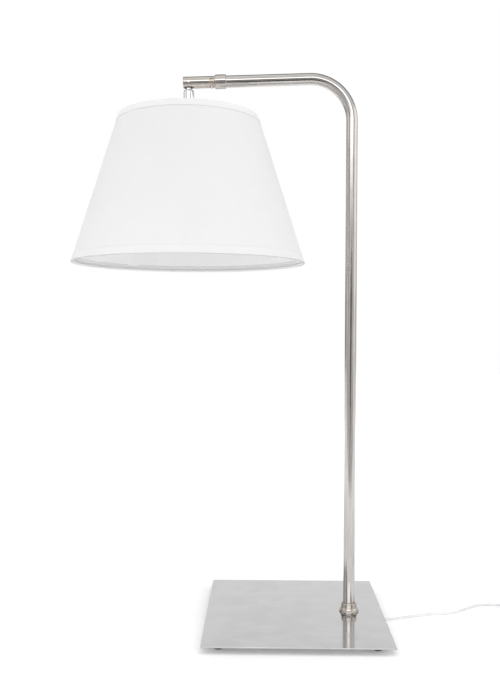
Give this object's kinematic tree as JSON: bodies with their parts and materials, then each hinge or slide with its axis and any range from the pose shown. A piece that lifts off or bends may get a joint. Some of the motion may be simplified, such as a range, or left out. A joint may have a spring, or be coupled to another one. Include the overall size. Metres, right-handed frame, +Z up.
{
  "type": "pharmacy floor lamp",
  "caption": "Floor lamp with a square plate base, a bent tube stem and a level arm, and a tapered fabric shade hung from a swivelling, tilting end.",
  "frame": {"origin": "on the floor, under the middle of the lamp's box in plan; the supply cord is not counted", "axes": "+Z up; the arm runs along -X from the stem, so the shade is on the -X side; the stem, the arm and the shade lie in the plane Y=0"},
  "size_m": [0.9266, 0.449, 1.0579],
  "materials": {
    "plate_steel": "satin brushed, lightly reflective",
    "foot_rubber": "matt black",
    "zinc": "bright zinc",
    "nickel": "satin nickel",
    "tube_nickel": "satin nickel, brushed along the tube",
    "core_nickel": "turned nickel",
    "polished_nickel": "polished nickel",
    "black_steel": "black oxide",
    "brass_bare": "bare brass",
    "brass_shell": "lacquered brass",
    "cord_pvc": "soft white PVC",
    "white_wire": "white coated wire",
    "shade_cloth": "fine plain weave",
    "shade_styrene": "matt white styrene",
    "trim_cloth": "folded tape of the same cloth",
    "fibre_card": "dark fibre card",
    "porcelain": "glazed",
    "knob_black": "moulded",
    "bulb_metal": "bright",
    "bulb_frost": "inside frosted",
    "tie_black": "matt",
    "plug_pvc": "moulded PVC"
  },
  "bodies": {
    "root": {"base_plate": "plate_steel", "plate_feet": "foot_rubber", "foot_screws": "zinc", "stem_flange": "nickel", "stem_insert": "zinc", "mount_nipple": "brass_bare", "mount_washer": "zinc", "mount_nut": "zinc", "stem_tube": "tube_nickel", "arm_tube": "tube_nickel", "arm_collar": "nickel", "collar_screw": "black_steel", "swivel_core": "core_nickel", "stop_screw": "zinc", "stem_lead": "cord_pvc", "cord_elbow": "cord_pvc", "supply_cord": "cord_pvc", "cord_coil": "cord_pvc", "coil_tie": "tie_black", "cord_tail": "cord_pvc", "plug_body": "plug_pvc", "plug_blades": "brass_bare"},
    "end_arm": {"end_tube": "nickel", "end_cap": "nickel", "pivot_pin": "nickel"},
    "head": {"neck_knuckle": "core_nickel", "neck_cup": "polished_nickel", "neck_washer": "polished_nickel", "neck_nipple": "brass_bare", "neck_sleeve": "nickel", "head_lead": "cord_pvc", "shade_spider": "white_wire", "shade_bottom_ring": "white_wire", "shade_fabric": "shade_cloth", "shade_liner": "shade_styrene", "shade_top_trim": "trim_cloth", "shade_bottom_trim": "trim_cloth", "socket_cap": "brass_shell", "nipple_nut": "zinc", "socket_shell": "brass_shell", "socket_sleeve": "fibre_card", "socket_body": "porcelain", "screw_shell": "brass_bare", "centre_contact": "brass_bare", "terminal_screws": "brass_bare", "bulb_cap": "bulb_metal", "bulb_tip": "bulb_metal", "bulb_glass": "bulb_frost"},
    "switch": {"switch_shaft": "brass_bare", "switch_knob": "knob_black"}
  },
  "joints": [
    {"name": "end_swivel", "type": "hinge", "parent": "root", "child": "end_arm", "pos_m": [-0.0562, 0, 1.04133], "axis": [-0.9997, 0, -0.0262], "range_deg": [-90, 90]},
    {"name": "shade_tilt", "type": "hinge", "parent": "end_arm", "child": "head", "pos_m": [-0.0772, 0, 1.04078], "axis": [0, 1, 0], "range_deg": [-12, 12]},
    {"name": "switch_turn", "type": "hinge", "parent": "head", "child": "switch", "pos_m": [-0.0532, 0, 0.93218], "axis": [1, 0, 0], "continuous": true}
  ]
}
